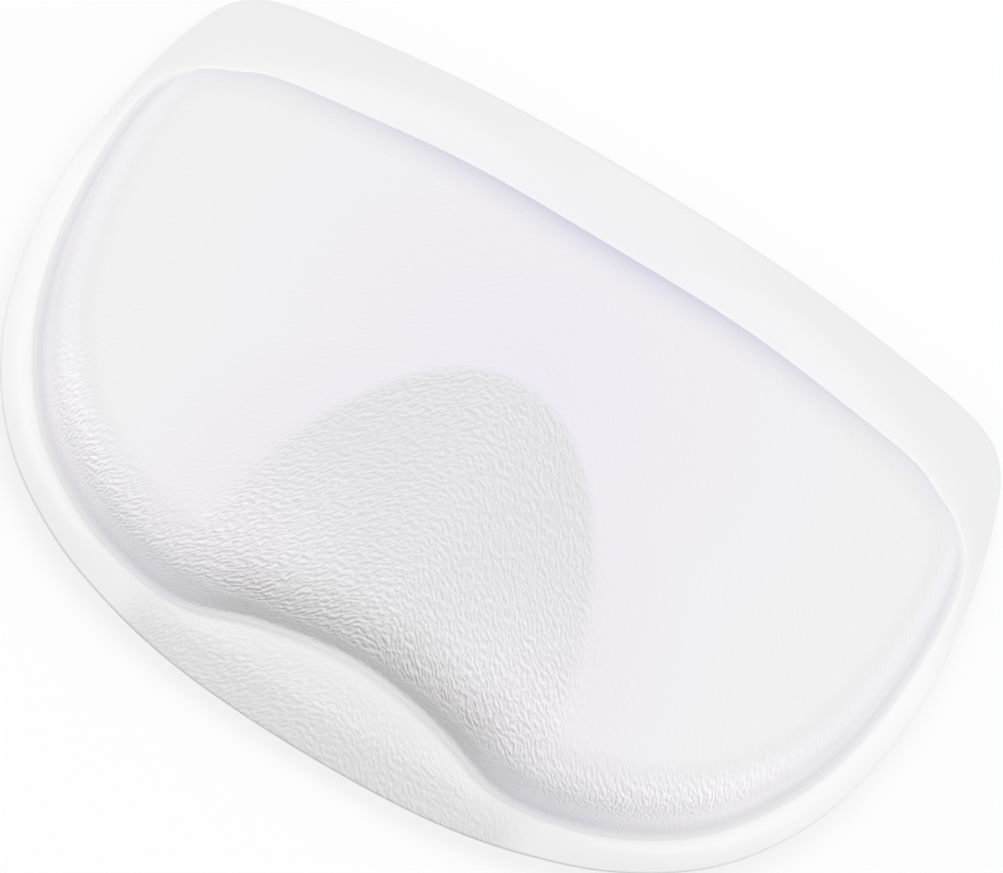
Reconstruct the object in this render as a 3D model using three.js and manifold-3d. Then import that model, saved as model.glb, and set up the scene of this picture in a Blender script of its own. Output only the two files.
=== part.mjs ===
// A bath pillow. A cushion of moulded foam is sealed between an embossed vinyl front and a
// plain vinyl back, and the two sheets are welded together in a flat rim all round it. Four
// suction cups hang by their mushroom heads in patches that are welded to the back.
//
// Millimetres. +X is to the right and +Y up to the long upper edge, seen from the front, and
// +Z points out of the face. The lips of the suction cups lie on z = 0, and x = y = 0 is the
// middle of the outline.

import * as THREE from "three";
import { mergeVertices } from "three/addons/utils/BufferGeometryUtils.js";
import Module from "manifold-3d";

// Outline
const pillowWidth = 350;
const pillowHeight = 240;
const upperRim = 31; // rim above the cushion
const sideRim = 10; // rim beside the cushion, where both are widest
const lowerRim = 22; // rim below the lobes
const notchDepth = 15; // neck notch, above the lobes on either side of it
const edgeDrop = 6; // how far the rim's lower edge curls back

// Relief of the cushion, above the rim
const upperFace = 28;
const lobeFace = 36;
const dishDepth = 2.5; // shallow hollow round the scoop
const dishWidth = 230;
const dishHeight = 150;
const shoulderReach = 26; // across the shoulder, at a share of 1
const wallDraft = THREE.MathUtils.degToRad(8);

// Head scoop, a sloping trough that deepens towards the neck notch
const scoopRadius = 130;
const scoopDepth = 19;
const scoopBelowTop = 63; // from the cushion's upper edge to the top of the scoop's arch
const scoopRun = 72; // over which most of its depth is reached
const archFootRise = 32; // from the lobes' lower edge to where the arch ends

// Sheets, foam and the gap that every fitted or welded piece keeps to its neighbour
const frontThickness = 1.1;
const backThickness = 1;
const fitGap = 0.3;
const foamChamfer = 1.5;
const ventBore = 3;
const ventSpacing = 40;
const ventSteps = 16;

// Suction cups and the patches that hold them
const cupDiameter = 46;
const cupHeight = 11;
const cupLipWidth = 3;
const cupLipThickness = 1.2;
const cupCrownDiameter = 18;
const cupCrownThickness = 3.6;
const neckDiameter = 8;
const headDiameter = 16;
const headHeight = 3.5;
const headRound = 1;
const patchDiameter = 38;
const patchThickness = 1.2;
const pocketDiameter = 21;
const pocketSlope = 2.5;
const swivelClearance = 0.5;

// Heights of the stack, from the surface that the cups stick to
const patchPlate = cupHeight + fitGap;
const headSeat = patchPlate + patchThickness + fitGap;
const backUnderside = headSeat + headHeight + fitGap;
const backFace = backUnderside + backThickness;
const rimFace = backFace + fitGap + frontThickness;

// Each row is one place on the right half of the pillow, from the middle of the upper edge
// round to the middle of the lower one. It gives the rim's edge as shares of half the pillow,
// the share of edgeDrop that it curls back by, the cushion's foot as shares of half the
// cushion, the share of notchDepth that the foot is raised by, the share of shoulderReach
// above it, and the share of the cushion's height that this shoulder rounds off.
const outlineShares = [
  { rim: [0, 1], drop: 0.25, foot: [0, 1], notch: 0, reach: 0.55, rounded: 0.41 },
  { rim: [0.344, 0.986], drop: 0.3, foot: [0.333, 0.992], notch: 0, reach: 0.55, rounded: 0.41 },
  { rim: [0.618, 0.945], drop: 0.5, foot: [0.599, 0.938], notch: 0, reach: 0.54, rounded: 0.41 },
  { rim: [0.839, 0.882], drop: 0.6, foot: [0.822, 0.87], notch: 0, reach: 0.52, rounded: 0.42 },
  { rim: [0.935, 0.688], drop: 0.4, foot: [0.924, 0.773], notch: 0, reach: 0.48, rounded: 0.43 },
  { rim: [0.969, 0.505], drop: 0.2, foot: [0.981, 0.631], notch: 0, reach: 0.46, rounded: 0.44 },
  { rim: [1, 0.16], drop: 0.05, foot: [0.998, 0.228], notch: 0, reach: 0.46, rounded: 0.45 },
  { rim: [0.985, -0.155], drop: 0.1, foot: [0.97, -0.15], notch: 0, reach: 0.5, rounded: 0.46 },
  { rim: [0.927, -0.434], drop: 0.15, foot: [0.913, -0.427], notch: 0, reach: 0.54, rounded: 0.48 },
  { rim: [0.811, -0.672], drop: 0.25, foot: [0.797, -0.711], notch: 0, reach: 0.6, rounded: 0.5 },
  { rim: [0.64, -0.841], drop: 0.4, foot: [0.642, -0.892], notch: 0, reach: 0.68, rounded: 0.52 },
  { rim: [0.474, -0.928], drop: 0.55, foot: [0.488, -0.98], notch: 0, reach: 0.8, rounded: 0.55 },
  { rim: [0.359, -0.966], drop: 0.7, foot: [0.37, -1], notch: 0.08, reach: 0.88, rounded: 0.54 },
  { rim: [0.22, -0.99], drop: 0.85, foot: [0.23, -1], notch: 0.6, reach: 0.84, rounded: 0.62 },
  { rim: [0, -1], drop: 1, foot: [0, -1], notch: 1, reach: 0.8, rounded: 0.72 },
];
const stationsPerRow = 2;

// Places of the rings, as shares of the stretch that each group crosses
const rimRingShare = 0.5;
const shoulderRingShares = [0, 0.12, 0.42, 1];
const faceRingShare = 0.5;
const scoopRingShares = [0.36, 0.7];
const archStationShare = 0.84; // of the stations on one half, those that run down the arch
const scoopMiddleShare = 0.55; // down the scoop, where its rings close

const cushionWidth = pillowWidth - 2 * sideRim;
const cushionHeight = pillowHeight - upperRim - lowerRim;
const halfCushion = cushionHeight / 2;
const cushionTop = pillowHeight / 2 - upperRim;
const cushionMiddle = cushionTop - halfCushion;
const cushionBottom = cushionMiddle - halfCushion;
const archTop = cushionTop - scoopBelowTop;
const archFoot = cushionBottom + archFootRise;

// Height of the face above the rim, before the scoop is taken out of it
function faceHeight(x, y) {
  const lowered = THREE.MathUtils.clamp((cushionTop - y) / cushionHeight, 0, 1);
  const acrossDish = (2 * x) / dishWidth;
  const downDish = (2 * (y - archTop)) / dishHeight;
  const dish = dishDepth * Math.exp(-acrossDish * acrossDish - downDish * downDish);
  return THREE.MathUtils.lerp(upperFace, lobeFace, lowered) - dish;
}

// Depth of the scoop along its middle line
function scoopDepthAt(y) {
  return scoopDepth * Math.tanh(Math.max(archTop - y, 0) / scoopRun);
}

// Half the width that the scoop has where it breaks through the face
function scoopHalfWidth(y) {
  const depth = scoopDepthAt(y);
  return Math.sqrt(2 * scoopRadius * depth - depth * depth);
}

// Height of the finished top above the rim: the face with the scoop cut into it
function topHeight(x, y) {
  const across = Math.min(Math.abs(x), scoopRadius);
  const sagitta = scoopRadius - Math.sqrt(scoopRadius ** 2 - across ** 2);
  return faceHeight(x, y) - Math.max(scoopDepthAt(y) - sagitta, 0);
}

// The rim's edge and the cushion's foot as closed curves through the rows and their mirror
// images, with the rim's curl as the z of its points
function closedCurve(pointOfRow) {
  const right = outlineShares.map(pointOfRow);
  const left = right
    .slice(1, -1)
    .reverse()
    .map((p) => new THREE.Vector3(-p.x, p.y, p.z));
  return new THREE.CatmullRomCurve3([...right, ...left], true, "centripetal");
}

const rimCurve = closedCurve(
  ({ rim, drop }) =>
    new THREE.Vector3((rim[0] * pillowWidth) / 2, (rim[1] * pillowHeight) / 2, -drop * edgeDrop),
);
const footCurve = closedCurve(
  ({ foot, notch }) =>
    new THREE.Vector3(
      (foot[0] * cushionWidth) / 2,
      cushionMiddle + foot[1] * halfCushion + notch * notchDepth,
      0,
    ),
);
const reachCurve = closedCurve(({ foot, reach }) => new THREE.Vector3(foot[0], foot[1], reach));
const roundedCurve = closedCurve(
  ({ foot, rounded }) => new THREE.Vector3(foot[0], foot[1], rounded),
);
const stations = rimCurve.points.length * stationsPerRow;

// Where a station's line meets the edge of the scoop: down the arch, then along the mouth
// at the notch
function scoopEdge(station) {
  const half = stations / 2;
  const side = station <= half ? 1 : -1;
  const along = Math.min(station, stations - station) / half;
  if (along <= archStationShare) {
    const y = THREE.MathUtils.lerp(archTop, archFoot, (along / archStationShare) ** 2);
    return new THREE.Vector3(side * scoopHalfWidth(y), y, 0);
  }
  const outwards = (1 - along) / (1 - archStationShare);
  const x = side * scoopHalfWidth(archFoot) * outwards;
  return new THREE.Vector3(x, archFoot + (notchDepth * (1 - outwards)) / 2, 0);
}

// The rings of points that make the pillow's outer surface above the rim's plane, from the
// rim's edge inwards. The first rings are the rim, the next the wall and shoulder, and the
// rest the face and the scoop. The last ring is one point.
function surfaceRings() {
  const middle = new THREE.Vector3(0, THREE.MathUtils.lerp(archTop, archFoot, scoopMiddleShare), 0);
  const lines = Array.from({ length: stations }, (_, i) => stationLine(i, middle));
  const rings = lines[0].map((_, k) => lines.map((line) => line[k]));
  middle.z = topHeight(middle.x, middle.y);
  return [...rings, [middle]];
}

function stationLine(station, middle) {
  const rim = rimCurve.getPoint(station / stations);
  const foot = footCurve.getPoint(station / stations);
  const tangent = footCurve.getTangent(station / stations);
  const inward = new THREE.Vector3(tangent.y, -tangent.x, 0);
  const edge = scoopEdge(station);
  const onTop = (p) => p.setZ(topHeight(p.x, p.y));

  const rimMiddle = rim.clone().lerp(foot, rimRingShare);
  rimMiddle.z = rim.z * (1 - rimRingShare) ** 2;
  const line = [rim, rimMiddle, foot];

  const height = topHeight(foot.x, foot.y);
  const reach = reachCurve.getPoint(station / stations).z * shoulderReach;
  const wallShare = 1 - roundedCurve.getPoint(station / stations).z;
  const wallInset = height * wallShare * Math.tan(wallDraft);
  for (const share of shoulderRingShares) {
    const p = foot.clone().addScaledVector(inward, wallInset + share * reach);
    const rise = Math.sqrt(1 - (1 - share) ** 2);
    p.z = topHeight(p.x, p.y) * (wallShare + (1 - wallShare) * rise);
    line.push(p);
  }

  line.push(onTop(line.at(-1).clone().lerp(edge, faceRingShare)), onTop(edge.clone()));
  for (const share of scoopRingShares) line.push(onTop(edge.clone().lerp(middle, share)));
  return line;
}

// The triangles of a sheet of rings, facing up, whose points start at an index
function sheetTriangles(rings, start) {
  const triangles = [];
  rings.slice(0, -1).forEach((ring, k) => {
    const inner = start + ring.length;
    ring.forEach((_, j) => {
      const next = (j + 1) % ring.length;
      if (rings[k + 1].length === 1) triangles.push([start + j, inner, start + next]);
      else {
        triangles.push([start + j, inner + j, inner + next]);
        triangles.push([start + j, inner + next, start + next]);
      }
    });
    start = inner;
  });
  return triangles;
}

// A sheet of rings moved down its own normals, so that each face moves by the distance
function sunk(rings, distance) {
  const points = rings.flat();
  const normals = points.map(() => []);
  for (const corners of sheetTriangles(rings, 0)) {
    const [a, b, c] = corners.map((i) => points[i]);
    const normal = b.clone().sub(a).cross(c.clone().sub(a)).normalize();
    corners.forEach((i) => normals[i].push(normal));
  }
  let first = 0;
  return rings.map((ring) => {
    const moved = ring.map((p, j) => {
      const around = normals[first + j];
      const mean = around.reduce((sum, n) => sum.add(n), new THREE.Vector3()).normalize();
      const steepest = Math.min(...around.map((n) => n.dot(mean)));
      return p.clone().addScaledVector(mean, -distance / Math.max(steepest, Math.SQRT1_2));
    });
    first += ring.length;
    return moved;
  });
}

// Rings moved straight up
function raised(rings, height) {
  return rings.map((ring) => ring.map((p) => p.clone().setZ(p.z + height)));
}

// One closed solid between an upper and a lower sheet of rings, joined at their edges
function solidBetween(upper, lower) {
  const upperPoints = upper.flat();
  const points = [...upperPoints, ...lower.flat()];
  const below = sheetTriangles(lower, upperPoints.length).map(([a, b, c]) => [a, c, b]);
  const triangles = [...sheetTriangles(upper, 0), ...below];
  const count = upper[0].length;
  for (let j = 0; j < count; j++) {
    const next = (j + 1) % count;
    const down = upperPoints.length;
    triangles.push([j, next, down + next], [j, down + next, down + j]);
  }
  const geometry = new THREE.BufferGeometry().setFromPoints(points);
  geometry.setIndex(triangles.flat());
  geometry.computeVertexNormals();
  return geometry;
}

const wasm = await Module();
wasm.setup();

// A geometry as a solid that can be cut
function solidOf(geometry) {
  const bare = new THREE.BufferGeometry();
  bare.setAttribute("position", geometry.getAttribute("position"));
  if (geometry.index) bare.setIndex(geometry.index);
  const merged = mergeVertices(bare);
  return new wasm.Manifold(
    new wasm.Mesh({
      numProp: 3,
      vertProperties: merged.getAttribute("position").array,
      triVerts: new Uint32Array(merged.index.array),
    }),
  );
}

function geometryOf(solid) {
  const mesh = solid.getMesh();
  const geometry = new THREE.BufferGeometry();
  geometry.setAttribute("position", new THREE.BufferAttribute(mesh.vertProperties, mesh.numProp));
  geometry.setIndex(new THREE.BufferAttribute(mesh.triVerts, 1));
  geometry.computeVertexNormals();
  return geometry;
}

const pillow = new THREE.Group();

function addPiece(name, geometry, material, parent = pillow) {
  const mesh = new THREE.Mesh(geometry, material);
  mesh.name = name;
  parent.add(mesh);
}

const surface = surfaceRings();
const rimRings = 3; // the rim's edge, its middle and the cushion's foot

// Front cover: one vacuum-formed sheet of embossed vinyl, with its welded rim
function frontCover() {
  const outside = raised(surface, rimFace);
  return solidBetween(outside, sunk(outside, frontThickness));
}

// Foam core: fills the front cover and lies on the back
function foamCore() {
  const outside = raised(surface, rimFace);
  const upper = sunk(outside, frontThickness + fitGap).slice(rimRings - 1);
  const underside = backFace + fitGap;
  upper[0].forEach((p) => p.setZ(underside + foamChamfer));
  const middle = upper.at(-1)[0].clone().setZ(underside);
  const lower = upper[0].map((p) => {
    const chamfer = middle.clone().sub(p).setZ(0).setLength(foamChamfer);
    return p.clone().setZ(underside).add(chamfer);
  });
  return solidBetween(upper, [lower, [middle]]);
}

// Back cover: a plain sheet that follows the rim, with two holes that let the foam breathe
function backCover() {
  const rings = surface.slice(0, rimRings);
  const middle = surface.at(-1)[0].clone().setZ(0);
  const upper = raised([...rings, [middle]], backFace);
  const sheet = solidOf(solidBetween(upper, raised(upper, -backThickness)));
  const drillLength = 3 * backThickness;
  const drill = new THREE.CylinderGeometry(ventBore / 2, ventBore / 2, drillLength, ventSteps);
  drill.rotateX(Math.PI / 2).translate(0, cushionMiddle, backFace);
  const holes = [-1, 1].map((side) =>
    solidOf(drill.clone().translate((side * ventSpacing) / 2, 0, 0)),
  );
  return geometryOf(holes.reduce((left, hole) => left.subtract(hole), sheet));
}

// Cup patch: a disc of vinyl, welded to the back round its edge, with a raised pocket for the
// cup's head and a hole for its neck
function cupPatch() {
  const hole = neckDiameter / 2 + swivelClearance;
  const pocket = pocketDiameter / 2;
  const edge = patchDiameter / 2;
  const weld = backUnderside - patchThickness;
  const profile = [
    [hole, patchPlate],
    [pocket, patchPlate],
    [pocket + pocketSlope, weld],
    [edge, weld],
    [edge, backUnderside],
    [pocket + pocketSlope, backUnderside],
    [pocket, patchPlate + patchThickness],
    [hole, patchPlate + patchThickness],
    [hole, patchPlate],
  ];
  return turned(profile);
}

// Suction cup: one moulding of clear soft vinyl, with a bell, a neck and a mushroom head
function suctionCup() {
  const lip = cupDiameter / 2;
  const crown = cupCrownDiameter / 2;
  const neck = neckDiameter / 2;
  const head = headDiameter / 2;
  const headTop = headSeat + headHeight;
  const hollow = cupHeight - cupCrownThickness;
  const inside = bellArc(0, hollow, lip - cupLipWidth, 0);
  const outside = bellArc(crown, cupHeight, lip, cupLipThickness).reverse();
  const profile = [
    ...inside,
    [lip, 0],
    ...outside,
    [neck, cupHeight],
    [neck, headSeat],
    [head, headSeat],
    [head, headTop - headRound],
    [head - headRound, headTop],
    [0, headTop],
  ];
  return turned(profile);
}

// A bell's curve from its crown out to its lip, falling faster the further out it is
const bellSteps = 4;
function bellArc(crownRadius, crownHeight, lipRadius, lipHeight) {
  return Array.from({ length: bellSteps + 1 }, (_, i) => {
    const share = i / bellSteps;
    const r = THREE.MathUtils.lerp(crownRadius, lipRadius, share);
    return [r, THREE.MathUtils.lerp(crownHeight, lipHeight, share * share)];
  });
}

// A profile of radius and height, turned round the z axis
const turnSteps = 28;
function turned(profile) {
  const points = profile.map(([r, z]) => new THREE.Vector2(r, z));
  return new THREE.LatheGeometry(points, turnSteps).rotateX(Math.PI / 2);
}

const vinyl = new THREE.MeshStandardMaterial({ color: 0xf3f3f5, roughness: 0.5 });
const foam = new THREE.MeshStandardMaterial({ color: 0xf0ebdd, roughness: 0.95 });
const backVinyl = new THREE.MeshStandardMaterial({ color: 0xe9eaec, roughness: 0.6 });
const patchVinyl = new THREE.MeshStandardMaterial({ color: 0xf1f2f3, roughness: 0.4 });
const clearVinyl = new THREE.MeshStandardMaterial({
  color: 0xdfe7ea,
  roughness: 0.15,
  transparent: true,
  opacity: 0.6,
});

addPiece("front_cover", frontCover(), vinyl);
addPiece("foam_core", foamCore(), foam);
addPiece("back_cover", backCover(), backVinyl);

// The four cups, as shares of half the cushion from its middle
const cupShares = {
  upper_left: [-0.68, 0.46],
  upper_right: [0.68, 0.46],
  lower_left: [-0.56, -0.52],
  lower_right: [0.56, -0.52],
};
for (const [place, [across, up]] of Object.entries(cupShares)) {
  const seat = new THREE.Group();
  seat.position.set((across * cushionWidth) / 2, cushionMiddle + up * halfCushion, 0);
  addPiece("cup_patch_" + place, cupPatch(), patchVinyl, seat);
  addPiece("suction_cup_" + place, suctionCup(), clearVinyl, seat);
  pillow.add(seat);
}

export default pillow;
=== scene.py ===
import math

import bmesh
import bpy
import numpy as np
from mathutils import Matrix, Vector


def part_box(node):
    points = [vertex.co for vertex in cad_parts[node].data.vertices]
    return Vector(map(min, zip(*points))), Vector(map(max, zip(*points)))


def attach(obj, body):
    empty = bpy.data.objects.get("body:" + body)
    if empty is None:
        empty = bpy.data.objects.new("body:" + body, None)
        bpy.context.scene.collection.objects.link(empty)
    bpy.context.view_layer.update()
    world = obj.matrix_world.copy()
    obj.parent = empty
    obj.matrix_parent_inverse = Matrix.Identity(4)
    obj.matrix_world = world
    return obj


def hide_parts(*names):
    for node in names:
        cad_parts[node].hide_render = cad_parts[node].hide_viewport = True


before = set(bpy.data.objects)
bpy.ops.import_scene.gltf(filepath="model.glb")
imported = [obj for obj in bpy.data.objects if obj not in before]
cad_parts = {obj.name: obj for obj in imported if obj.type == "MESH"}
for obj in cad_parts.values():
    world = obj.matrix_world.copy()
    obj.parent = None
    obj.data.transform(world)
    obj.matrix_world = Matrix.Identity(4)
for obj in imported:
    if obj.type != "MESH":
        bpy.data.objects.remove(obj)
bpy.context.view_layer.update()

# Camera
# It looks down on the face from the neck's side through a long lens, so the outline is hardly
# foreshortened, and it is rolled so that the pillow lies askew in the picture.
mm = 0.001
picture_width = 1003
pixel_size = 0.34642 * mm  # on the rim's plane
pixels_right_of_rim, pixels_above_rim = 23.2, 25.7  # from the rim's middle to the picture's
rim_plane = 19 * mm
camera_distance = 5
camera_tilt = math.radians(17)
camera_roll = math.radians(31)

towards_camera = Vector((0, -math.sin(camera_tilt), math.cos(camera_tilt)))
level_right = Vector((1, 0, 0))
picture_right = Matrix.Rotation(camera_roll, 3, towards_camera) @ level_right
picture_up = towards_camera.cross(picture_right)
aim = Vector((0, 0, rim_plane))
aim += pixels_right_of_rim * pixel_size * picture_right
aim += pixels_above_rim * pixel_size * picture_up

camera_data = bpy.data.cameras.new("camera")
camera_data.sensor_width = 36
camera_data.lens = camera_data.sensor_width * camera_distance / (picture_width * pixel_size)
camera = bpy.data.objects.new("camera", camera_data)
axes = Matrix((picture_right, picture_up, towards_camera)).transposed()
camera.matrix_world = Matrix.Translation(aim + camera_distance * towards_camera) @ axes.to_4x4()
bpy.context.scene.collection.objects.link(camera)
bpy.context.scene.camera = camera
bpy.context.scene.view_settings.view_transform = "Standard"

# Studio
# A white surround that is brighter at both sides and one large soft lamp above the upper edge
# light the pillow. The surround and the floor are white to the camera, and the floor keeps the
# pillow's shadow.
surround_strength = 0.65
side_strength = 1.6  # added to the surround's at both sides
side_sharpness = 10  # how fast that falls off from the sides
lamp_way = Vector((0, 0.14, 0.99)).normalized()
lamp_distance = 2.5
lamp_size = 1.6
lamp_power = 19.5
floor_half = 5
floor_colour = "#fcfcfc"
shadow_share = 0.3  # of the floor's own shading that the camera sees


def linear(colour):
    """The linear colour of an sRGB hex value."""
    levels = [int(colour[i : i + 2], 16) / 255 for i in (1, 3, 5)]
    return [v / 12.92 if v <= 0.04045 else ((v + 0.055) / 1.055) ** 2.4 for v in levels] + [1]


def add_node(tree, kind, inputs=None, **settings):
    """Adds a node. An input that is given a socket is linked to it, and others are set."""
    node = tree.nodes.new(kind)
    for name, value in settings.items():
        setattr(node, name, value)
    for name, value in (inputs or {}).items():
        if isinstance(value, bpy.types.NodeSocket):
            tree.links.new(value, node.inputs[name])
        else:
            node.inputs[name].default_value = value
    return node


def new_material(name):
    material = bpy.data.materials.new(name)
    material.use_nodes = True
    material.node_tree.nodes.clear()
    return material, material.node_tree


world = bpy.data.worlds.new("surround")
world.use_nodes = True
bpy.context.scene.world = world
tree = world.node_tree
tree.nodes.clear()
rays = add_node(tree, "ShaderNodeLightPath").outputs
seen = rays["Is Camera Ray"]
for kind in ("Is Glossy Ray", "Is Transmission Ray"):
    seen = add_node(tree, "ShaderNodeMath", {0: seen, 1: rays[kind]}, operation="MAXIMUM")
    seen = seen.outputs[0]
way = add_node(tree, "ShaderNodeTexCoord").outputs["Generated"]
aside = add_node(tree, "ShaderNodeSeparateXYZ", {0: way}).outputs["X"]
aside = add_node(tree, "ShaderNodeMath", {0: aside}, operation="ABSOLUTE").outputs[0]
aside = add_node(
    tree, "ShaderNodeMath", {0: aside, 1: side_sharpness}, operation="POWER"
).outputs[0]
lit = add_node(
    tree,
    "ShaderNodeMath",
    {0: aside, 1: side_strength, 2: surround_strength},
    operation="MULTIPLY_ADD",
).outputs[0]
strength = add_node(tree, "ShaderNodeMapRange", {"Value": seen, "To Min": lit, "To Max": 1})
background = add_node(
    tree, "ShaderNodeBackground", {"Color": (1, 1, 1, 1), "Strength": strength.outputs[0]}
)
add_node(tree, "ShaderNodeOutputWorld", {"Surface": background.outputs[0]})

lamp_data = bpy.data.lights.new("soft_lamp", "AREA")
lamp_data.shape = "DISK"
lamp_data.size = lamp_size
lamp_data.energy = lamp_power
lamp = bpy.data.objects.new("soft_lamp", lamp_data)
lamp.location = lamp_distance * lamp_way
lamp.rotation_euler = lamp_way.to_track_quat("Z", "Y").to_euler()
bpy.context.scene.collection.objects.link(lamp)


def object_of(name, bm, material):
    """A finished piece: its object at the origin, with its place in its mesh."""
    mesh = bpy.data.meshes.new(name)
    bm.to_mesh(mesh)
    bm.free()
    mesh.shade_smooth()
    mesh.materials.append(material)
    piece = bpy.data.objects.new(name, mesh)
    bpy.context.scene.collection.objects.link(piece)
    return piece


def floor_paper():
    """Matt white paper, which is clear from below so that the pillow's back can be seen."""
    material, tree = new_material("floor_paper")
    matt = add_node(tree, "ShaderNodeBsdfDiffuse", {"Color": linear(floor_colour)})
    white = add_node(tree, "ShaderNodeEmission", {"Color": (1, 1, 1, 1)})
    shaded = add_node(
        tree, "ShaderNodeMixShader", {0: shadow_share, 1: white.outputs[0], 2: matt.outputs[0]}
    )
    clear = add_node(tree, "ShaderNodeBsdfTransparent")
    below = add_node(tree, "ShaderNodeNewGeometry").outputs["Backfacing"]
    sided = add_node(
        tree, "ShaderNodeMixShader", {0: below, 1: shaded.outputs[0], 2: clear.outputs[0]}
    )
    add_node(tree, "ShaderNodeOutputMaterial", {"Surface": sided.outputs[0]})
    return material


bm = bmesh.new()
bmesh.ops.create_grid(bm, x_segments=1, y_segments=1, size=floor_half)
floor = object_of("floor", bm, floor_paper())
floor.visible_diffuse = False

# Front cover
# One sheet of white leathercloth, vacuum-formed over the cushion's mould and welded to the back
# sheet all round its rim. The grain stays deep in the scoop and round the notch, is drawn almost
# flat on the face, and is pressed smooth on the rim.
# Its colour carries painted light and shade on the sides, crest, scoop, notch, seam and rim.
back_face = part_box("back_cover")[1].z
pillow_half = 175 * mm, 120 * mm
cover_thickness = 1.4 * mm
rim_face = back_face + cover_thickness
upper_rim = 31 * mm
side_rim = 10 * mm
lower_rim = 22 * mm
notch_depth = 15 * mm
edge_drop = 6 * mm
upper_face = 28 * mm
lobe_face = 36 * mm
dish_depth = 2.5 * mm
dish_width = 230 * mm
dish_height = 150 * mm
shoulder_reach = 26 * mm
wall_draft = math.radians(8)
foot_fillet = 1.6 * mm
weld_line_width = 1.5 * mm
weld_line_depth = 0.35 * mm
scoop_radius = 130 * mm
scoop_depth = 19 * mm
scoop_below_top = 63 * mm
scoop_run = 72 * mm
crease_at_arch = 0.3 * mm
crease_at_mouth = 3 * mm
arch_foot_above_lobes = 32 * mm
edge_round = 0.4 * mm
edge_angle = math.radians(60)  # sharper edges than this are rounded
merge_distance = 0.001 * mm

# One place to a row, from the middle of the upper edge round to the middle of the lower one.
# Shares of: half the pillow across and up, edge_drop, the rim's width that stays flat beside
# the cushion, half the cushion across and up, notch_depth, shoulder_reach, and the cushion's
# height that the shoulder rounds off.
outline_shares = [
    (0, 1, 0.25, 0, 0, 1, 0, 0.55, 0.41),
    (0.344, 0.986, 0.3, 0.5, 0.333, 0.992, 0, 0.55, 0.41),
    (0.618, 0.945, 0.5, 0.42, 0.599, 0.938, 0, 0.54, 0.41),
    (0.839, 0.882, 0.6, 0.14, 0.807, 0.877, 0, 0.52, 0.42),
    (0.902, 0.8, 0.5, 0.12, 0.866, 0.824, 0, 0.5, 0.42),
    (0.935, 0.688, 0.4, 0.12, 0.924, 0.773, 0, 0.48, 0.43),
    (0.969, 0.505, 0.2, 0.4, 0.981, 0.631, 0, 0.46, 0.44),
    (1, 0.16, 0.05, 0.5, 0.998, 0.228, 0, 0.46, 0.45),
    (0.985, -0.155, 0.1, 0.5, 0.97, -0.15, 0, 0.5, 0.46),
    (0.927, -0.434, 0.15, 0.5, 0.913, -0.427, 0, 0.54, 0.48),
    (0.811, -0.672, 0.25, 0.5, 0.797, -0.711, 0, 0.6, 0.5),
    (0.64, -0.841, 0.4, 0.4, 0.642, -0.892, 0, 0.68, 0.52),
    (0.474, -0.928, 0.55, 0.1, 0.488, -0.98, 0, 0.8, 0.55),
    (0.359, -0.966, 0.7, 0.16, 0.37, -1, 0.08, 0.88, 0.54),
    (0.22, -0.99, 0.85, 0.43, 0.23, -1, 0.6, 0.84, 0.62),
    (0, -1, 1, 0.56, 0, -1, 1, 0.8, 0.72),
]
steps_per_row = 16
outline_easing = 2.5  # steps
hinge_softness_share = 0.06  # of the rim's width
curl_power = 1.4

cushion_half_width = pillow_half[0] - side_rim
cushion_top = pillow_half[1] - upper_rim
cushion_bottom = lower_rim - pillow_half[1]
cushion_middle = (cushion_top + cushion_bottom) / 2
half_cushion = (cushion_top - cushion_bottom) / 2
arch_top = cushion_top - scoop_below_top
arch_foot = cushion_bottom + arch_foot_above_lobes
arch_share = 0.84  # of the stations on one half, those whose lines end on the arch
scoop_middle_share = 0.55  # of the way from the arch's top to its foot
scoop_ring_power = 1.6


def smooth_share(value, start, end):
    """A smooth rise from 0 at one value to 1 at the other."""
    share = np.clip((value - start) / (end - start), 0, 1)
    return share * share * (3 - 2 * share)


def mix(a, b, share):
    return a + (b - a) * share


def closed_curve(points, steps):
    """Steps between points of the closed centripetal Catmull-Rom curve through them. Columns
    after the third are values that go along with the points."""
    before, after, later = (np.roll(points, shift, axis=0) for shift in (1, -1, -2))
    gaps = [
        np.linalg.norm((b - a)[:, :3], axis=1)[:, None] ** 0.5
        for a, b in ((before, points), (points, after), (after, later))
    ]
    first, gap, last = gaps
    leave = (points - before) / first - (after - before) / (first + gap) + (after - points) / gap
    arrive = (after - points) / gap - (later - points) / (gap + last) + (later - after) / last
    t = (np.arange(steps) / steps)[None, :, None]
    curve = (
        points[:, None] * (2 * t**3 - 3 * t**2 + 1)
        + (leave * gap)[:, None] * (t**3 - 2 * t**2 + t)
        + after[:, None] * (3 * t**2 - 2 * t**3)
        + (arrive * gap)[:, None] * (t**3 - t**2)
    )
    return curve.reshape(-1, points.shape[1])


def eased(values, reach):
    """Values round a closed line, evened out over a number of steps."""
    waves = np.fft.fftfreq(len(values))[:, None]
    passed = np.exp(-2 * (math.pi * waves * reach) ** 2)
    return np.fft.ifft(np.fft.fft(values, axis=0) * passed, axis=0).real


def outline_curve(*columns):
    """The closed line through the rows and their mirror images, evened out."""
    right = np.column_stack(columns)
    left = right[-2:0:-1].copy()
    left[:, 0] *= -1
    return eased(closed_curve(np.vstack([right, left]), steps_per_row), outline_easing)


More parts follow.
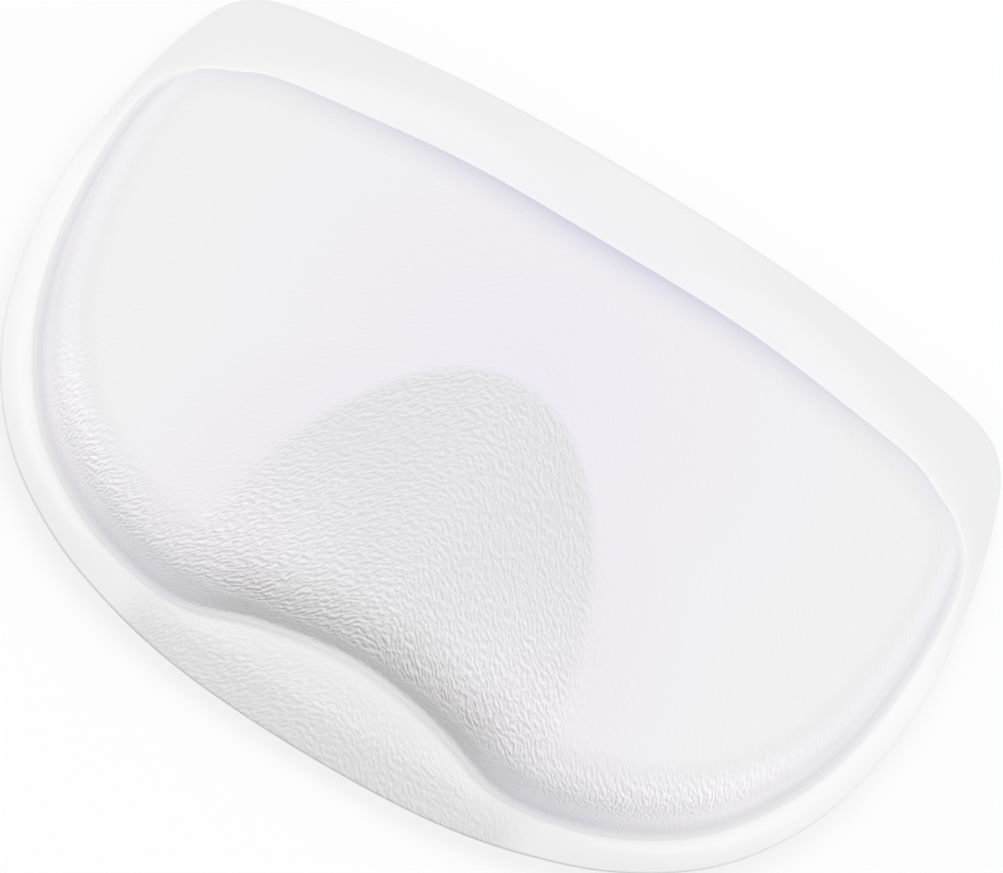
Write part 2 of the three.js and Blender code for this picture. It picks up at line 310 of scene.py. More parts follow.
columns = np.array(outline_shares, float).T
rim_x, rim_y, drop, flat, foot_x, foot_y, notch, reach, rounded = columns
rim_line = outline_curve(rim_x * pillow_half[0], rim_y * pillow_half[1], -drop * edge_drop)
foot_line = outline_curve(
    foot_x * cushion_half_width,
    cushion_middle + foot_y * half_cushion + notch * notch_depth,
    np.zeros(len(flat)),
    flat,
    reach,
    rounded,
)
stations = len(rim_line)
flat_share = np.clip(foot_line[:, 3], 0, 1)
reach_share, rounded_share = foot_line[:, 4], foot_line[:, 5]
rim_line[:, 0] *= pillow_half[0] / rim_line[:, 0].max()
rim_line[:, 1] *= pillow_half[1] / np.abs(rim_line[:, 1]).max()


def face_height(x, y):
    """Height of the face above the rim, before the scoop is taken out of it."""
    lowered = np.clip((cushion_top - y) / (cushion_top - cushion_bottom), 0, 1)
    dish = np.exp(-((2 * x / dish_width) ** 2) - (2 * (y - arch_top) / dish_height) ** 2)
    return mix(upper_face, lobe_face, lowered) - dish_depth * dish


def scoop_depth_at(y):
    return scoop_depth * np.tanh(np.maximum(arch_top - y, 0) / scoop_run)


def scoop_half_width(y):
    depth = scoop_depth_at(y)
    return np.sqrt(2 * scoop_radius * depth - depth**2)


def scooped(x, y):
    """Depth of the scoop, whose edge is a crease at the arch and softens to the mouth."""
    sagitta = scoop_radius - np.sqrt(scoop_radius**2 - np.minimum(np.abs(x), scoop_radius) ** 2)
    slope = scoop_depth / scoop_run
    depth = scoop_depth_at(y) - np.maximum(y - arch_top, 0) * slope - sagitta
    softness = mix(crease_at_arch, crease_at_mouth, smooth_share(y, arch_top, arch_foot))
    return (depth + np.hypot(depth, softness)) / 2


def top_height(x, y):
    return face_height(x, y) - scooped(x, y)


def scoop_edge():
    """Where the stations' lines meet the scoop: down the arch, then along its mouth."""
    half = stations / 2
    station = np.arange(stations)
    side = np.where(station <= half, 1, -1)
    along = np.minimum(station, stations - station) / half
    arch_y = mix(arch_top, arch_foot, (np.minimum(along, arch_share) / arch_share) ** 2)
    outwards = np.minimum((1 - along) / (1 - arch_share), 1)
    x = side * scoop_half_width(arch_y) * outwards
    y = np.where(along <= arch_share, arch_y, arch_foot + notch_depth * (1 - outwards) / 2)
    return np.column_stack([x, y])


def rim_height(share_from_foot):
    """Height of the rim: flat beside the cushion, then bent back along a soft hinge."""
    softness = hinge_softness_share

    def bent(share):
        past = share - flat_share
        return ((past + np.hypot(past, softness)) / 2) ** curl_power

    return rim_line[:, 2] * (bent(share_from_foot) - bent(0)) / (bent(1) - bent(0))


rim_steps = 14
weld_steps = 4
fillet_steps = 5
wall_steps = 4
shoulder_steps = 18
face_steps = 20
scoop_steps = 18
shoulder_fullness = 2.05  # a quarter of an ellipse has 2
ring_easing = 5  # steps
first_fillet_ring = rim_steps + weld_steps
first_wall_ring = first_fillet_ring + fillet_steps
first_shoulder_ring = first_wall_ring + wall_steps
first_face_ring = first_shoulder_ring + shoulder_steps


def surface_rings():
    """Rings of points from the rim's edge to the middle of the scoop, above the rim's plane."""
    rings = []
    foot = foot_line[:, :2]
    outwards = rim_line[:, :2] - foot
    rim_width = np.linalg.norm(outwards, axis=1)
    outwards /= rim_width[:, None]
    tangent = np.roll(foot, -1, axis=0) - np.roll(foot, 1, axis=0)
    inward = np.column_stack([tangent[:, 1], -tangent[:, 0]])
    inward /= np.linalg.norm(inward, axis=1)[:, None]
    edge = scoop_edge()
    slant_out = -np.sum(outwards * inward, axis=1)

    def add(xy, z):
        rings.append(np.column_stack([xy, z]))

    steepness = math.pi / 2 - wall_draft
    tangent_length = foot_fillet * math.tan(steepness / 2)
    fillet_end = tangent_length / slant_out / rim_width
    weld_end = (tangent_length + weld_line_width) / slant_out / rim_width
    for step in range(rim_steps):
        share = mix(1, weld_end, step / rim_steps)
        add(foot + outwards * (rim_width * share)[:, None], rim_height(share))

    for step in range(weld_steps):
        share = mix(weld_end, fillet_end, step / weld_steps)
        dip = weld_line_depth * math.sin(math.pi * step / weld_steps) ** 2
        add(foot + outwards * (rim_width * share)[:, None], rim_height(share) - dip)

    for step in range(fillet_steps + 1):
        turn = steepness * step / fillet_steps
        across = foot_fillet * math.sin(turn) - tangent_length
        up = foot_fillet * (1 - math.cos(turn))
        base = rim_height(fillet_end) * (1 - step / fillet_steps)
        if across < 0:
            add(foot - outwards * (across / slant_out)[:, None], base + up)
        else:
            add(foot + inward * across, base + up)

    height = top_height(*foot.T)
    wall_share = 1 - rounded_share
    fillet_top = foot_fillet * (1 - math.cos(steepness))
    for step in range(1, wall_steps + 1):
        z = mix(fillet_top, height * wall_share, step / wall_steps)
        add(foot + inward * (z * math.tan(wall_draft))[:, None], z)

    wall_inset = height * wall_share * math.tan(wall_draft)
    for step in range(1, shoulder_steps + 1):
        turn = math.pi / 2 * step / shoulder_steps
        share = 1 - math.cos(turn) ** (2 / shoulder_fullness)
        rise = math.sin(turn) ** (2 / shoulder_fullness)
        inset = wall_inset + share * reach_share * shoulder_reach
        xy = eased(foot + inward * inset[:, None], ring_easing * share)
        add(xy, top_height(*xy.T) * mix(wall_share, 1, rise))

    shoulder_end = xy
    for step in range(1, face_steps + 1):
        share = 1 - (1 - step / face_steps) ** 2
        xy = mix(shoulder_end, edge, share)
        add(xy, top_height(*xy.T))

    middle = np.array([0, mix(arch_top, arch_foot, scoop_middle_share)])
    for step in range(1, scoop_steps + 1):
        xy = mix(edge, middle, (step / scoop_steps) ** scoop_ring_power)
        add(xy, top_height(*xy.T))
    return np.array(rings)


def unrolled(rings):
    """Where each point of the sheet lies when its walls are folded out level with the face."""
    flat = rings.copy()
    flat[:, :, 2] = 0
    for ring in range(first_face_ring - 1, -1, -1):
        step = rings[ring] - rings[ring + 1]
        level = np.linalg.norm(step[:, :2], axis=1)[:, None]
        way = step[:, :2] / np.maximum(level, 1e-9)
        flat[ring, :, :2] = flat[ring + 1, :, :2] + way * np.linalg.norm(step, axis=1)[:, None]
    return flat


def formed_sheet(rings, layers=None, colours=None):
    """A grid wrapped round the pillow with its lines on the rings. Each layer is a value at
    each of its points, and colours is a colour at each."""
    bm = bmesh.new()
    across, down = rings.shape[1], len(rings) - 1
    bmesh.ops.create_grid(bm, x_segments=across, y_segments=down, size=0.5)
    stored = {name: bm.verts.layers.float.new(name) for name in layers or {}}
    if colours is not None:
        painted = bm.verts.layers.float_color.new("sheet_colour_with_painted_shading")
        unfolded = bm.verts.layers.float_vector.new("unrolled")
        flat = unrolled(rings)
    for vert in bm.verts:
        station = round((vert.co.x + 0.5) * across) % across
        ring = round((vert.co.y + 0.5) * down)
        for name, layer in stored.items():
            vert[layer] = layers[name][ring, station]
        if colours is not None:
            vert[painted] = colours[ring, station]
            vert[unfolded] = flat[ring, station]
        vert.co = rings[ring, station]
    bmesh.ops.remove_doubles(bm, verts=bm.verts, dist=merge_distance)
    bmesh.ops.recalc_face_normals(bm, faces=bm.faces)
    return bm


def outward_normals(rings):
    """Unit normals of the surface through the rings, pointing out of the pillow."""
    along = np.roll(rings, -1, axis=1) - np.roll(rings, 1, axis=1)
    normals = np.cross(np.gradient(rings, axis=0), along)
    lengths = np.linalg.norm(normals, axis=2, keepdims=True)
    straight_up = np.broadcast_to([0.0, 0.0, 1.0], normals.shape)
    normals = np.where(lengths > 0, normals / np.maximum(lengths, 1e-15), straight_up)
    return normals * np.sign(normals[:, :, 2].sum())


def upright(bm):
    """Turns a sheet's faces up if they point down."""
    if sum(face.normal.z * face.calc_area() for face in bm.faces) < 0:
        bmesh.ops.reverse_faces(bm, faces=bm.faces)


surface = surface_rings()
surface[:, :, 2] += rim_face

# Where each look of the sheet lies. A pair gives where the look, or its fading, begins and ends.
lilac_width = 170 * mm
lilac_height = 150 * mm
lilac_beside_arch = 40 * mm
lilac_below_arch_top = -20 * mm, 30 * mm
lilac_beside_arch_strength = 0.8
crest_half = 110 * mm
notch_aside = 40 * mm, 75 * mm
notch_below_middle = 0, 50 * mm
lobes_aside = 70 * mm, 125 * mm
lobes_full_above_bottom = 30 * mm
lower_side_below_middle = 25 * mm, 75 * mm
grain_below_middle = 30 * mm, 80 * mm
tilts = math.radians(7), math.radians(64)
walls_up = 0.2, 0.5  # shares of the height of the face above
seam_up = 0.06, 0.3  # likewise
steep_wall_up = 0, 0.3  # shares of the shoulder
shoulder_up = 0.25, 1  # likewise
low_edge_up = 0, 0.6  # likewise
scoop_sunk = 0.1 * mm, 1.2 * mm
mouth_below_arch_foot = -45 * mm, 15 * mm
sunk_aside = 9.2 * mm, 46 * mm  # from the middle of the mouth
sunk_fading = 0.15, 0.8  # how much fades there, at the arch and at the mouth
crescent_half = 86 * mm  # the part of the rim below the notch
crescent_full_share = 0.8  # of its half
crescent_below_middle = 0, 60 * mm
crescent_beyond_foot = -6 * mm, 17 * mm
grain_on_face = 0.04  # depths of the grain, as shares of the deepest
grain_in_scoop = 0.34
grain_at_mouth = 0.58
grain_on_lobe_shoulder = 0.68
grain_on_upper_shoulder = 0.1  # of what a lower one has
grain_on_lobe_wall = 0.2
grain_on_notch_wall = 0.6
grain_on_crescent = 0.34


def zone_shares():
    """How far each point lies in each zone of the sheet, from 0 to 1."""
    x, y = surface[:, :, 0], surface[:, :, 1]
    ring = np.arange(len(surface))[:, None]
    foot = surface[first_fillet_ring]
    foot_aside, foot_below = np.abs(foot[:, 0]), -foot[:, 1]
    beyond_foot = np.hypot(x - foot[:, 0], y - foot[:, 1])
    up_shoulder = np.clip((ring - first_shoulder_ring) / shoulder_steps, 0, 1)
    up_wall = (surface[:, :, 2] - rim_face) / (surface[first_face_ring, :, 2] - rim_face)
    tilt = np.arccos(np.clip(outward_normals(surface)[:, :, 2], 0, 1))

    cushion = smooth_share(ring, first_fillet_ring - 1, first_wall_ring)
    notch = 1 - smooth_share(foot_aside, *notch_aside)
    notch *= smooth_share(foot_below, *notch_below_middle)
    steep_wall = 1 - smooth_share(up_shoulder, *steep_wall_up)
    wall = mix(1 - smooth_share(up_wall, *walls_up), steep_wall, notch)
    shoulder = (1 - smooth_share(up_shoulder, *shoulder_up)) * (1 - wall)
    low_edge = np.maximum(steep_wall, 1 - smooth_share(up_shoulder, *low_edge_up))
    seam = smooth_share(ring, first_fillet_ring - 2, first_fillet_ring + 1)
    seam = seam * (1 - smooth_share(up_wall, *seam_up)) * (1 - notch)
    lobes = 1 - smooth_share(foot_aside, *lobes_aside)
    lobes = lobes * smooth_share(-y, -cushion_middle, -cushion_bottom - lobes_full_above_bottom)

    scoop = smooth_share(scooped(x, y), *scoop_sunk)
    mouth = smooth_share(arch_foot - y, *mouth_below_arch_foot)
    sunk = scoop * (1 - mix(*sunk_fading, mouth) * smooth_share(np.abs(x), *sunk_aside))
    dish = np.exp(-((2 * x / lilac_width) ** 2) - (2 * (y - arch_top) / lilac_height) ** 2)
    beside_arch = np.exp(-(((np.abs(x) - scoop_half_width(y)) / lilac_beside_arch) ** 2))
    beside_arch *= lilac_beside_arch_strength * smooth_share(arch_top - y, *lilac_below_arch_top)

    crescent = 1 - smooth_share(np.abs(x), crescent_full_share * crescent_half, crescent_half)
    crescent = crescent * smooth_share(-y, *crescent_below_middle)
    crescent = crescent * smooth_share(beyond_foot, *crescent_beyond_foot)
    shares = {
        "cushion": cushion,
        "tilted": smooth_share(tilt, *tilts) * cushion,
        "low_edge": low_edge * cushion,
        "wall": wall * cushion,
        "shoulder": shoulder * cushion,
        "scoop": scoop * cushion,
        "mouth": mouth * cushion,
        "sunk": sunk * cushion,
        "crescent": crescent * (1 - cushion),
        "seam": seam,
        "notch": notch,
        "lobes": lobes,
        "lower_side": smooth_share(foot_below, *lower_side_below_middle),
        "lowered": smooth_share(-y, *grain_below_middle),
        "raised": smooth_share(y, cushion_middle, cushion_top),
        "lilac": np.maximum(dish, beside_arch),
        "middle": np.exp(-((x / crest_half) ** 2)),
    }
    return {name: np.broadcast_to(share, x.shape) for name, share in shares.items()}


zones = zone_shares()


def grain_depths():
    """How deep the grain is at each point, from 0 on the pressed rim to 1."""
    depth = mix(grain_on_face, grain_in_scoop, zones["scoop"])
    depth = mix(depth, grain_at_mouth, zones["scoop"] * zones["mouth"])
    on_shoulder = mix(grain_on_lobe_shoulder, 1, zones["notch"])
    kept = mix(grain_on_upper_shoulder, 1, zones["lowered"])
    depth = mix(depth, on_shoulder, zones["shoulder"] * kept)
    on_wall = mix(grain_on_lobe_wall, grain_on_notch_wall, zones["notch"])
    depth = mix(depth, on_wall * zones["lowered"], zones["wall"])
    return mix(grain_on_crescent * zones["crescent"], depth, zones["cushion"])


face_colour = "#ececec"
# A lilac cast in the dish and beside the arch, a little darker than the face: faint painted shade
# with a lilac tint.
dish_lilac_and_shade_colour = "#e9e5ee"
# Painted shade, violet, on the upper crest's shoulder and wall.
crest_painted_shade_colour = "#d9d7e9"
# Painted light: the tilted sides are drawn whiter than the face, and the lower sides whiter
# still.
side_painted_light_colour = "#f1eff4"
lower_side_painted_light_colour = "#fdfbff"
# A painted violet cast of the shade on the lobes' low edges.
lobe_painted_shade_tint = "#edecf2"
# Painted shade in the scoop.
scoop_painted_shade_colour = "#e0e0e2"
# Painted shade round the notch, the darkest of the sheet.
notch_painted_shade_colour = "#d5d3d3"
# Painted shade along the seam at the cushion's foot.
seam_painted_shade_colour = "#d6d3e2"
# Painted shade on the crescent of rim below the notch.
crescent_painted_shade_colour = "#e0e0e1"
# The rim's white is lighter than the face's: the rim is smoother, and its lighter white is a
# painted sheen.
rim_colour_with_painted_sheen = "#f1f1f1"
# Painted shade on the upper rim, and less of it on the lower rim.
upper_rim_painted_shade_colour = "#ededed"
notch_shoulder_strength = 0.85  # of the notch's painted shade, above its low edge
lower_rim_strength = 0.35  # of the upper rim's painted shade, below the middle
seam_strength = 0.22


def sheet_colours():
    """The sheet's colour at each point: white, with a lilac cast and faint painted shade in the
    dish, painted violet shade on the upper crest, painted light on the tilted sides, a painted
    violet cast of shade on the lobes' low edges, painted shade in the scoop, round the notch,
    along the seam, on the crescent and on the upper rim, and a painted sheen on the rim."""

    def over(colour, other, share):
        return mix(colour, np.array(linear(other)), share[..., None])

    edge = np.maximum(zones["wall"], zones["shoulder"])
    tilted = zones["tilted"] * (1 - zones["middle"])
    in_notch = mix(zones["low_edge"], edge, notch_shoulder_strength) * zones["notch"]
    colour = over(linear(face_colour), dish_lilac_and_shade_colour, zones["lilac"])
    # Painted light on the tilted sides, strongest on the lower ones.
    colour = over(colour, side_painted_light_colour, tilted)
    colour = over(colour, lower_side_painted_light_colour, tilted * zones["lower_side"])
    # Painted violet shade on the upper crest.
    colour = over(colour, crest_painted_shade_colour, edge * zones["raised"] * zones["middle"])
    colour = over(colour, lobe_painted_shade_tint, zones["low_edge"] * zones["lobes"])
    # Painted shade in the scoop, fading to its sides.
    colour = over(colour, scoop_painted_shade_colour, zones["sunk"])
    # Painted shade round the notch.
    colour = over(colour, notch_painted_shade_colour, in_notch)
    # Painted shade on the rim: full on the upper rim, weaker on the lower sides.
    greyer = np.maximum(zones["raised"], lower_rim_strength * zones["lower_side"])
    rim = over(linear(rim_colour_with_painted_sheen), upper_rim_painted_shade_colour, greyer)
    # Painted shade on the crescent.
    rim = over(rim, crescent_painted_shade_colour, zones["crescent"])
    colour = mix(rim, colour, zones["cushion"][..., None])
    # Painted shade along the seam.
    return over(colour, seam_painted_shade_colour, seam_strength * zones["seam"])


cover_roughness = 0.5
rim_roughness = 0.33
wrinkle_spacing = 1.1 * mm
wrinkle_stretch = 2.6  # how much longer than wide
wrinkle_relief = 0.22 * mm
# The wrinkles' sides that face up and outwards carry a painted highlight, and the others painted
# shade.
painted_highlight_offset = 0.45 * mm
painted_highlight_gain = 0.36  # painted highlight on the sides facing up and outwards
sway_spacing = 14 * mm
sway_reach = 3 * mm
ripple_spacing = 2.6 * mm
ripple_reach = 0.9 * mm
ridge_softness = 12 * mm  # where the slants of both halves meet


def leathercloth():
    """White polyurethane leathercloth: satin, with a fine leather grain that the forming draws
    out into slanting wrinkles, which run up towards the pillow's middle line from both sides.
    Its grain's depth, its colour and where it is pressed smooth come from the sheet's points.
    The wrinkles' sides that face up and outwards get a painted highlight, the others painted
    shade."""
    material, tree = new_material("embossed_leathercloth")
    stored = {
        name: add_node(tree, "ShaderNodeAttribute", attribute_name=name).outputs
        for name in ("unrolled", "grain_depth", "cushion", "sheet_colour_with_painted_shading")
    }
    place = stored["unrolled"]["Vector"]
    for spacing, reach in ((sway_spacing, sway_reach), (ripple_spacing, ripple_reach)):
        noise = add_node(
            tree, "ShaderNodeTexNoise", {"Vector": place, "Scale": 1 / spacing, "Detail": 1}
        )
        place = add_node(
            tree,
            "ShaderNodeVectorMath",
            {0: noise.outputs["Color"], 1: (reach, reach, 0), 2: place},
            operation="MULTIPLY_ADD",
        ).outputs[0]
    apart = add_node(tree, "ShaderNodeSeparateXYZ", {0: place}).outputs
    squared = add_node(
        tree,
        "ShaderNodeMath",
        {0: apart["X"], 1: apart["X"], 2: ridge_softness**2},
        operation="MULTIPLY_ADD",
    )
    beside = add_node(tree, "ShaderNodeMath", {0: squared.outputs[0]}, operation="SQRT")
    slanted = add_node(
        tree, "ShaderNodeMath", {0: apart["Y"], 1: beside.outputs[0]}, operation="ADD"
    )
    across = add_node(
        tree, "ShaderNodeMath", {0: slanted.outputs[0], 1: math.sqrt(0.5)}, operation="MULTIPLY"
    )
    along = add_node(
        tree,
        "ShaderNodeMath",
        {0: apart["X"], 1: math.sqrt(2) / wrinkle_stretch},
        operation="MULTIPLY",
    )

    def wrinkles(shift):
        """Height of the wrinkles, at a shift towards the side that they face."""
        shifted = add_node(
            tree, "ShaderNodeMath", {0: across.outputs[0], 1: shift}, operation="ADD"
        )
        drawn = add_node(
            tree, "ShaderNodeCombineXYZ", {"X": shifted.outputs[0], "Y": along.outputs[0]}
        )
        noise = add_node(
            tree,
            "ShaderNodeTexNoise",
            {
                "Vector": drawn.outputs[0],
                "Scale": 1 / wrinkle_spacing,
                "Detail": 1.2,
                "Roughness": 0.45,
            },
            noise_dimensions="2D",
        )
        return add_node(
            tree,
            "ShaderNodeMapRange",
            {"Value": noise.outputs[0], "From Min": 0.3, "From Max": 0.7},
            interpolation_type="SMOOTHSTEP",
        ).outputs[0]

    depth = stored["grain_depth"]["Fac"]
    relief = wrinkles(0)
    height = add_node(tree, "ShaderNodeMath", {0: relief, 1: depth}, operation="MULTIPLY")
    bump = add_node(
        tree, "ShaderNodeBump", {"Height": height.outputs[0], "Distance": wrinkle_relief}
    )
    # Painted highlight and shade: the base colour is made lighter on the wrinkles' sides that
    # face up and outwards, and darker on the others.
    fall = add_node(
        tree, "ShaderNodeMath", {0: relief, 1: wrinkles(painted_highlight_offset)}, operation="SUBTRACT"
    )
    fall = add_node(tree, "ShaderNodeMath", {0: fall.outputs[0], 1: depth}, operation="MULTIPLY")
    light = add_node(
        tree,
        "ShaderNodeMath",
        {0: fall.outputs[0], 1: painted_highlight_gain, 2: 1},
        operation="MULTIPLY_ADD",
    )
    colour = add_node(
        tree,
        "ShaderNodeVectorMath",
        {0: stored["sheet_colour_with_painted_shading"]["Color"], "Scale": light.outputs[0]},
        operation="SCALE",
    )
    roughness = add_node(
        tree,
        "ShaderNodeMapRange",
        {
            "Value": stored["cushion"]["Fac"],
            "To Min": rim_roughness,
            "To Max": cover_roughness,
        },
    )
    skin = add_node(
        tree,
        "ShaderNodeBsdfPrincipled",
        {
            "Base Color": colour.outputs[0],
            "Roughness": roughness.outputs[0],
            "Normal": bump.outputs[0],
        },
    )
    add_node(tree, "ShaderNodeOutputMaterial", {"Surface": skin.outputs[0]})
    return material


def given_thickness(piece, thickness):
    """A sheet's wall, below its faces."""
    wall = piece.modifiers.new("thickness", "SOLIDIFY")
    wall.thickness = thickness
    wall.offset = -1
    wall.use_even_offset = True


def rounded_edges(piece, rounding, angle=math.radians(50), hardened=True):
    """Rounds the edges of a piece that are sharper than an angle."""
    trim = piece.modifiers.new("rounded_edges", "BEVEL")
    trim.width = rounding
    trim.segments = 2
    trim.limit_method = "ANGLE"
    trim.angle_limit = angle
    trim.harden_normals = hardened


layers = {"grain_depth": grain_depths(), "cushion": zones["cushion"]}
bm = formed_sheet(surface, layers, sheet_colours())
upright(bm)
cover = object_of("formed_front_cover", bm, leathercloth())
given_thickness(cover, cover_thickness)
rounded_edges(cover, edge_round, edge_angle, hardened=False)
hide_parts("front_cover")
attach(cover, "pillow")

# Foam core
# One moulding of open-cell foam, up to 34 mm thick, which fills the cover and lies on the back
# sheet. It is hidden while the pillow is whole. Its form is the cover's, sunk by its wall.
foam_inset = 1.45 * mm
foam_chamfer = 1.5 * mm
weld_gap = 0.3 * mm
foam_colour = "#f0e9d6"
# Painted shade inside the foam's open pores.
pore_painted_shade_colour = "#cfc4a6"
pore_spacing = 0.9 * mm
pore_depth = 0.25 * mm
pore_rim = 0.45  # of the spacing, from a pore's middle to its rim
foam_roughness = 0.95
foam_stride = 2  # of the cover's rings and stations, every second one
foam_underside = back_face + weld_gap


def foam_rings():
    """Closed rings from the middle of the underside, round the edge, to the middle of the top."""
    inside = surface - foam_inset * outward_normals(surface)
    upper = inside[first_wall_ring::foam_stride, ::foam_stride]
    side = upper[0].copy()
    side[:, 2] = foam_underside + foam_chamfer
    middle = np.broadcast_to(upper[-1].mean(axis=0), side.shape).copy()
    middle[:, 2] = foam_underside
    towards_middle = middle[:, :2] - side[:, :2]
    towards_middle /= np.linalg.norm(towards_middle, axis=1)[:, None]
    base = side.copy()
    base[:, :2] += foam_chamfer * towards_middle
    base[:, 2] = foam_underside
    return np.array([middle, base, side, *upper])


def foam_stuff():
    """Polyurethane foam, off-white and matt, with painted shade inside its open pores."""
    material, tree = new_material("open_cell_foam")
    place = add_node(tree, "ShaderNodeTexCoord").outputs["Object"]
    pores = add_node(tree, "ShaderNodeTexVoronoi", {"Vector": place, "Scale": 1 / pore_spacing})
    depth = add_node(
        tree, "ShaderNodeMapRange", {"Value": pores.outputs["Distance"], "From Max": pore_rim}
    ).outputs[0]
    bump = add_node(tree, "ShaderNodeBump", {"Height": depth, "Distance": pore_depth})
    colour = add_node(
        tree, "ShaderNodeMixRGB", {0: depth, 1: linear(pore_painted_shade_colour), 2: linear(foam_colour)}
    )
    foam = add_node(
        tree,
        "ShaderNodeBsdfPrincipled",
        {
            "Base Color": colour.outputs[0],
            "Roughness": foam_roughness,
            "Normal": bump.outputs[0],
        },
    )
    add_node(tree, "ShaderNodeOutputMaterial", {"Surface": foam.outputs[0]})
    return material


foam = object_of("moulded_foam", formed_sheet(foam_rings()), foam_stuff())
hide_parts("foam_core")
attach(foam, "pillow")

# Back cover
# A plain white vinyl sheet, 1 mm thick, with a fine matt emboss from its rollers. It is welded
# to the cover along the rim, and has two punched 3 mm vents that let the foam breathe.
back_thickness = back_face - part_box("cup_patch_upper_left")[1].z
vent_radius = 1.5 * mm
vent_spacing = 40 * mm
vent_steps = 40
back_edge_round = 0.3 * mm
back_colour = "#e4e5e7"
back_roughness = 0.55
emboss_spacing = 0.7 * mm
emboss_depth = 0.035 * mm
cloud_spacing = 30 * mm  # of slow changes in how matt it is
cloud_strength = 0.07


def is_inner(edge, rings):
    """Whether an edge is nearer to the innermost ring than to the outermost one."""
    middle = np.array((edge.verts[0].co + edge.verts[1].co) / 2)
    to_rim, to_inner = (np.linalg.norm(ring - middle, axis=1).min() for ring in rings[[0, -1]])
    return to_inner < to_rim


def back_sheet():
    """The rim and weld line as a grid, and within them one flat face with two round holes."""
    rings = surface[: first_fillet_ring + 1] - np.array([0, 0, cover_thickness])
    rings[-1, :, 2] = back_face
    bm = formed_sheet(rings)
    inner = [edge for edge in bm.edges if edge.is_boundary and is_inner(edge, rings)]
    holes = []
    for side in (-1, 1):
        centre = (side * vent_spacing / 2, cushion_middle, back_face)
        made = bmesh.ops.create_circle(
            bm, segments=vent_steps, radius=vent_radius, matrix=Matrix.Translation(centre)
        )
        holes += {edge for vert in made["verts"] for edge in vert.link_edges}
    bmesh.ops.triangle_fill(bm, use_beauty=True, edges=inner + holes)
    bmesh.ops.recalc_face_normals(bm, faces=bm.faces)
    upright(bm)
    return bm


def matt_vinyl(name, colour, roughness):
    """Calendered white vinyl: matt, with a fine emboss like paper and faint duller clouds."""
    material, tree = new_material(name)
    place = add_node(tree, "ShaderNodeTexCoord").outputs["Object"]
    emboss = add_node(
        tree, "ShaderNodeTexNoise", {"Vector": place, "Scale": 1 / emboss_spacing, "Detail": 3}
    )
    clouds = add_node(
        tree, "ShaderNodeTexNoise", {"Vector": place, "Scale": 1 / cloud_spacing, "Detail": 2}
    )
    bump = add_node(
        tree, "ShaderNodeBump", {"Height": emboss.outputs[0], "Distance": emboss_depth}
    )
    rough = add_node(
        tree,
        "ShaderNodeMapRange",
        {
            "Value": clouds.outputs[0],
            "To Min": roughness - cloud_strength,
            "To Max": roughness + cloud_strength,
        },
    )
    vinyl = add_node(
        tree,
        "ShaderNodeBsdfPrincipled",
        {
            "Base Color": linear(colour),
            "Roughness": rough.outputs[0],
            "Normal": bump.outputs[0],
        },
    )
    add_node(tree, "ShaderNodeOutputMaterial", {"Surface": vinyl.outputs[0]})
    return material


back = object_of("back_sheet", back_sheet(), matt_vinyl("matt_back", back_colour, back_roughness))
given_thickness(back, back_thickness)
rounded_edges(back, back_edge_round)
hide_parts("back_cover")
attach(back, "pillow")

# Cup patches
# Four discs of white vinyl, 38 mm across and 1.2 mm thick, welded to the back in two pressed
# rings. The raised pocket of each holds the head of a cup, and its 9 mm hole lets the neck out.
cup_places = "upper_left", "upper_right", "lower_left", "lower_right"
patch_low, patch_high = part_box("cup_patch_upper_left")
patch_radius = (patch_high.x - patch_low.x) / 2
patch_thickness = 1.2 * mm
pocket_radius = 10.5 * mm
pocket_slope = 2.5 * mm
neck_radius = 4 * mm
neck_clearance = 0.5 * mm
weld_ring_width = 0.9 * mm
weld_ring_depth = 0.35 * mm
weld_ring_shares = 0.34, 0.68  # of the flange's width
turn_steps = 96
patch_round = 0.35 * mm
patch_colour = "#eceded"
patch_roughness = 0.4


def patch_profile():
    """Radius and height of the patch's section, from its hole along its underside and back."""
    hole = neck_radius + neck_clearance
    slope_end = pocket_radius + pocket_slope
    weld = patch_high.z - patch_thickness
    flange = patch_radius - slope_end
    underside = [(hole, patch_low.z), (pocket_radius, patch_low.z), (slope_end, weld)]
    for share in weld_ring_shares:
        start = slope_end + share * flange - weld_ring_width / 2
        underside += [
            (start, weld),
            (start + weld_ring_width / 4, weld + weld_ring_depth),
            (start + weld_ring_width * 3 / 4, weld + weld_ring_depth),
            (start + weld_ring_width, weld),
        ]
    underside += [(patch_radius, weld)]
    return underside + [
        (patch_radius, patch_high.z),
        (slope_end, patch_high.z),
        (pocket_radius, patch_low.z + patch_thickness),
        (hole, patch_low.z + patch_thickness),
    ]


def turned(profile, middle, closed):
    """A profile of radius and height, turned round the upright line through a middle."""
    bm = bmesh.new()
    verts = [bm.verts.new((middle.x + r, middle.y, z)) for r, z in profile]
    ends = zip(verts, verts[1:] + verts[:1]) if closed else zip(verts, verts[1:])
    edges = [bm.edges.new(pair) for pair in ends]
    bmesh.ops.spin(
        bm,
        geom=verts + edges,
        cent=(middle.x, middle.y, 0),
        axis=(0, 0, 1),
        angle=2 * math.pi,
        steps=turn_steps,
    )
    bmesh.ops.remove_doubles(bm, verts=bm.verts, dist=merge_distance)
    bmesh.ops.recalc_face_normals(bm, faces=bm.faces)
    return bm


def cup_middle(place):
    """The middle of a cup, which its patch is centred on too."""
    low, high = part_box("suction_cup_" + place)
    return (low + high) / 2


patch_skin = matt_vinyl("welded_patch", patch_colour, patch_roughness)
for place in cup_places:
    bm = turned(patch_profile(), cup_middle(place), closed=True)
    patch = object_of("welded_patch_" + place, bm, patch_skin)
    rounded_edges(patch, patch_round)
    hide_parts("cup_patch_" + place)
    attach(patch, "pillow")

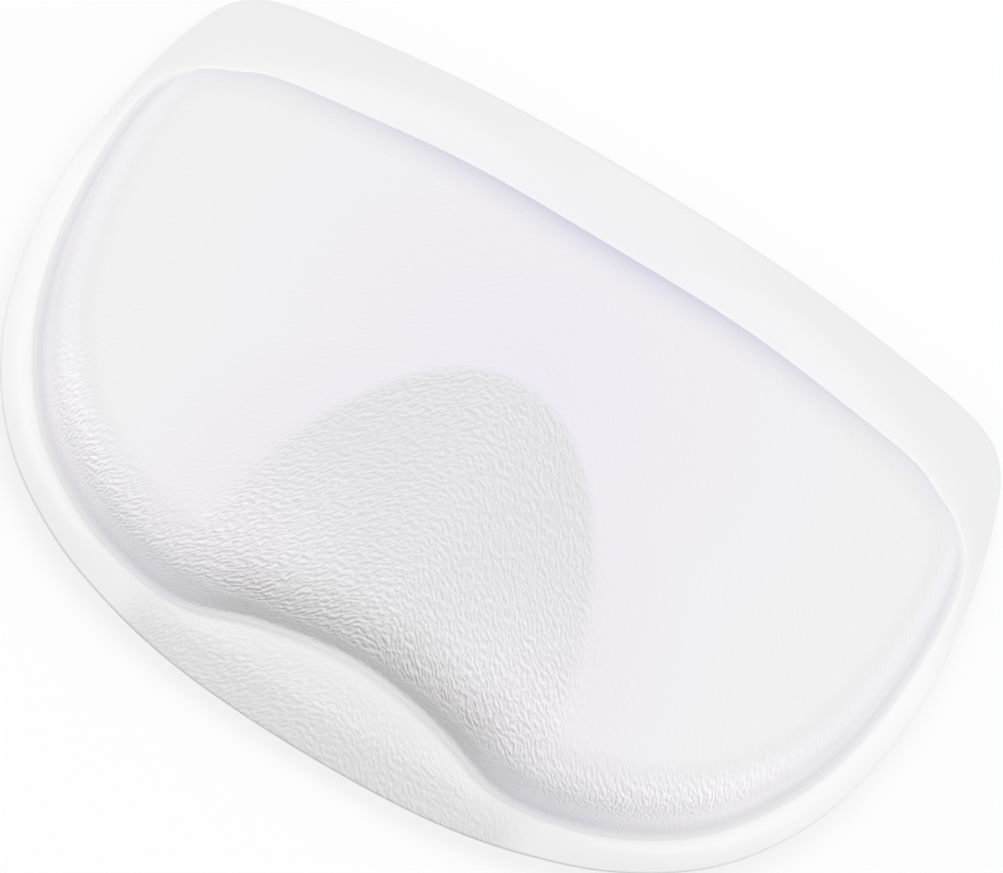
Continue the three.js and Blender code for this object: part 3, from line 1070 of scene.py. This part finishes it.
# Suction cups
# Four mouldings of clear soft vinyl, 46 mm across. Each has a bell whose wall thins to a
# sealing lip, a neck through the patch's hole and a mushroom head in the pocket.
cup_low, cup_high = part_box("suction_cup_upper_left")
cup_radius = (cup_high.x - cup_low.x) / 2
cup_height = 11 * mm
lip_width = 3 * mm
lip_thickness = 1.2 * mm
crown_radius = 9 * mm
crown_thickness = 3.6 * mm
head_radius = 8 * mm
head_height = 3.5 * mm
head_round = 1 * mm
bell_steps = 14
cup_round = 0.3 * mm
cup_colour = "#e3eef2"
cup_clearness = 0.85
vinyl_ior = 1.53
glossiest_roughness, haziest_roughness = 0.09, 0.24
haze_spacing = 4 * mm
haze_depth = 0.05 * mm


def bell_arc(crown, crown_height, lip, lip_height):
    """The bell's curve from its crown to its lip, which falls faster the further out it is."""
    shares = [step / bell_steps for step in range(bell_steps + 1)]
    return [(mix(crown, lip, s), mix(crown_height, lip_height, s * s)) for s in shares]


def cup_profile():
    """Radius and height of the cup's section, from the hollow's top, round the lip, to the
    middle of the head."""
    inside = bell_arc(0, cup_height - crown_thickness, cup_radius - lip_width, 0)
    outside = bell_arc(crown_radius, cup_height, cup_radius, lip_thickness)
    top = cup_high.z
    return [
        *inside,
        (cup_radius, 0),
        *outside[::-1],
        (neck_radius, cup_height),
        (neck_radius, top - head_height),
        (head_radius, top - head_height),
        (head_radius, top - head_round),
        (head_radius - head_round, top),
        (0, top),
    ]


def clear_vinyl():
    """Clear soft vinyl: glossy, with a faint blue tint and a slight haze from its mould."""
    material, tree = new_material("clear_soft_vinyl")
    place = add_node(tree, "ShaderNodeTexCoord").outputs["Object"]
    haze = add_node(
        tree, "ShaderNodeTexNoise", {"Vector": place, "Scale": 1 / haze_spacing, "Detail": 2}
    )
    rough = add_node(
        tree,
        "ShaderNodeMapRange",
        {
            "Value": haze.outputs[0],
            "To Min": glossiest_roughness,
            "To Max": haziest_roughness,
        },
    )
    bump = add_node(tree, "ShaderNodeBump", {"Height": haze.outputs[0], "Distance": haze_depth})
    vinyl = add_node(
        tree,
        "ShaderNodeBsdfPrincipled",
        {
            "Base Color": linear(cup_colour),
            "Roughness": rough.outputs[0],
            "Transmission Weight": cup_clearness,
            "IOR": vinyl_ior,
            "Normal": bump.outputs[0],
        },
    )
    add_node(tree, "ShaderNodeOutputMaterial", {"Surface": vinyl.outputs[0]})
    return material


cup_skin = clear_vinyl()
for place in cup_places:
    bm = turned(cup_profile(), cup_middle(place), closed=False)
    cup = object_of("clear_cup_" + place, bm, cup_skin)
    rounded_edges(cup, cup_round)
    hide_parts("suction_cup_" + place)
    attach(cup, "cup_" + place)
